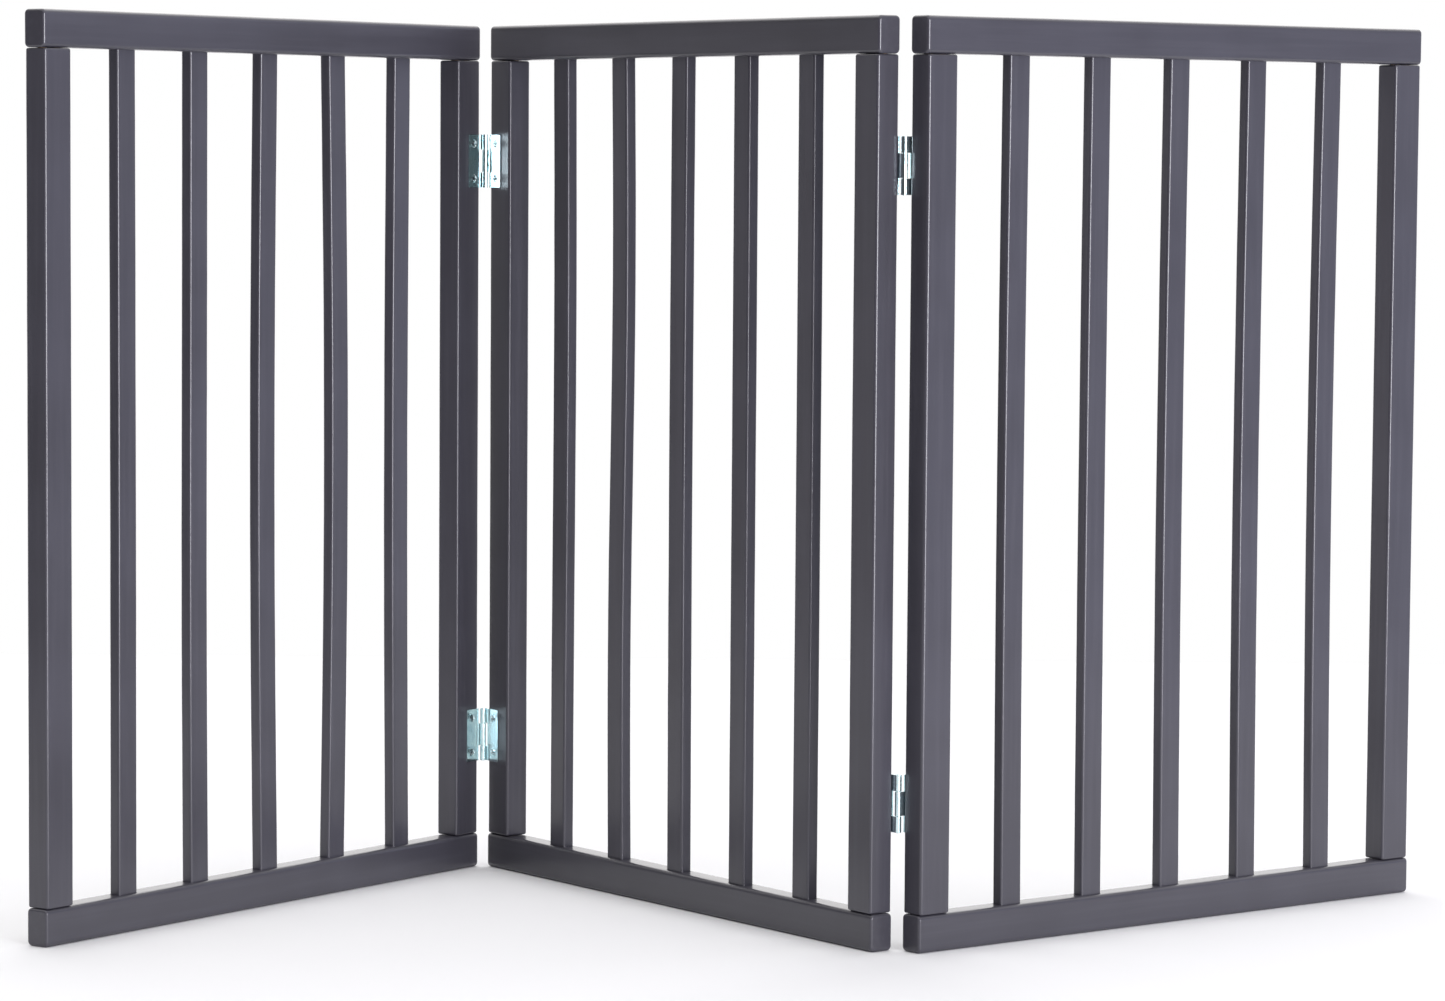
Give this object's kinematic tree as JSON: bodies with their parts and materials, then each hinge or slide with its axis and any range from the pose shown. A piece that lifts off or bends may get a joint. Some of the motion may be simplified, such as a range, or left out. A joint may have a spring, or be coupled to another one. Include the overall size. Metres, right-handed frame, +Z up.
{
  "type": "pet gate",
  "caption": "Free-standing folding pet gate: barred wooden panels with rounded rails, joined by surface-mounted butt hinges, standing as a zig-zag and folding flat.",
  "frame": {"origin": "on the floor, at the middle of the box round the standing gate", "axes": "+X along the standing gate from its left end to its right end, +Y from its front to its back, +Z up; rest is the gate standing as a zig-zag"},
  "size_m": [0.94, 0.3796, 0.61],
  "materials": {
    "painted_wood": "satin dark grey paint over smooth wood",
    "dowel_wood": "bare beech",
    "hinge_plate": "bright zinc-plated stamped steel",
    "pin_steel": "zinc-plated drawn wire",
    "screw_steel": "zinc-plated, cross recess"
  },
  "bodies": {
    "middle_panel": {"middle_top_rail": "painted_wood", "middle_bottom_rail": "painted_wood", "middle_left_post": "painted_wood", "middle_right_post": "painted_wood", "middle_slat_1": "painted_wood", "middle_slat_2": "painted_wood", "middle_slat_3": "painted_wood", "middle_slat_4": "painted_wood", "middle_slat_5": "painted_wood", "middle_dowels": "dowel_wood", "left_fold_upper_leaf_on_middle": "hinge_plate", "left_fold_upper_screws_on_middle": "screw_steel", "left_fold_lower_leaf_on_middle": "hinge_plate", "left_fold_lower_screws_on_middle": "screw_steel", "left_fold_lower_pin": "pin_steel", "right_fold_upper_leaf_on_middle": "hinge_plate", "right_fold_upper_screws_on_middle": "screw_steel", "right_fold_lower_leaf_on_middle": "hinge_plate", "right_fold_lower_screws_on_middle": "screw_steel", "right_fold_lower_pin": "pin_steel"},
    "left_panel": {"left_top_rail": "painted_wood", "left_bottom_rail": "painted_wood", "left_left_post": "painted_wood", "left_right_post": "painted_wood", "left_slat_1": "painted_wood", "left_slat_2": "painted_wood", "left_slat_3": "painted_wood", "left_slat_4": "painted_wood", "left_slat_5": "painted_wood", "left_dowels": "dowel_wood", "left_fold_upper_leaf_on_left": "hinge_plate", "left_fold_upper_screws_on_left": "screw_steel", "left_fold_upper_pin": "pin_steel", "left_fold_lower_leaf_on_left": "hinge_plate", "left_fold_lower_screws_on_left": "screw_steel"},
    "right_panel": {"right_top_rail": "painted_wood", "right_bottom_rail": "painted_wood", "right_left_post": "painted_wood", "right_right_post": "painted_wood", "right_slat_1": "painted_wood", "right_slat_2": "painted_wood", "right_slat_3": "painted_wood", "right_slat_4": "painted_wood", "right_slat_5": "painted_wood", "right_dowels": "dowel_wood", "right_fold_upper_leaf_on_right": "hinge_plate", "right_fold_upper_screws_on_right": "screw_steel", "right_fold_upper_pin": "pin_steel", "right_fold_lower_leaf_on_right": "hinge_plate", "right_fold_lower_screws_on_right": "screw_steel"}
  },
  "joints": [
    {"name": "left_fold", "type": "hinge", "parent": "middle_panel", "child": "left_panel", "pos_m": [-0.19074, 0.18024, 0.305], "axis": [0, 0, 1], "range_deg": [-108.4, 71.6]},
    {"name": "right_fold", "type": "hinge", "parent": "middle_panel", "child": "right_panel", "pos_m": [0.09853, -0.17555, 0.305], "axis": [0, 0, 1], "range_deg": [-91.6, 88.4]}
  ]
}
